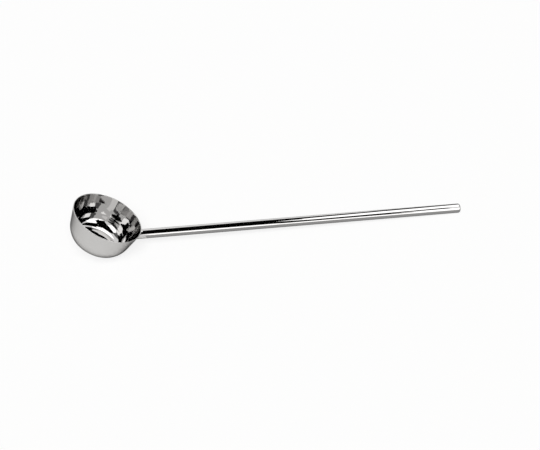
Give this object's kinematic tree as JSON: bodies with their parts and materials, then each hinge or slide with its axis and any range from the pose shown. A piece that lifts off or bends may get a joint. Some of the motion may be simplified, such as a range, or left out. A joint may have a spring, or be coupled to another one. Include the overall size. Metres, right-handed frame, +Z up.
{
  "type": "water dipper",
  "caption": "Polished stainless steel water dipper: a drawn bowl with a rounded side and a long closed tube handle welded to its side, for scooping and pouring.",
  "frame": {"origin": "middle of the footprint, on the table that the dipper lies on", "axes": "+Z up, +X along the handle towards its tip, +Y to the left of someone looking from the bowl to the tip; the XZ plane halves the dipper"},
  "size_m": [0.666, 0.1196, 0.0923],
  "materials": {
    "bowl_steel": "mirror-polished stainless steel sheet, deep drawn",
    "tube_steel": "mirror-polished stainless steel tube",
    "root_weld_steel": "TIG weld bead, brushed clean, with a faint heat tint",
    "cap_steel": "pressed stainless steel, mirror-polished",
    "cap_weld_steel": "weld ground flush and polished"
  },
  "bodies": {
    "root": {"bowl": "bowl_steel", "handle_tube": "tube_steel", "root_weld": "root_weld_steel", "end_cap": "cap_steel", "cap_weld": "cap_weld_steel"}
  },
  "joints": []
}
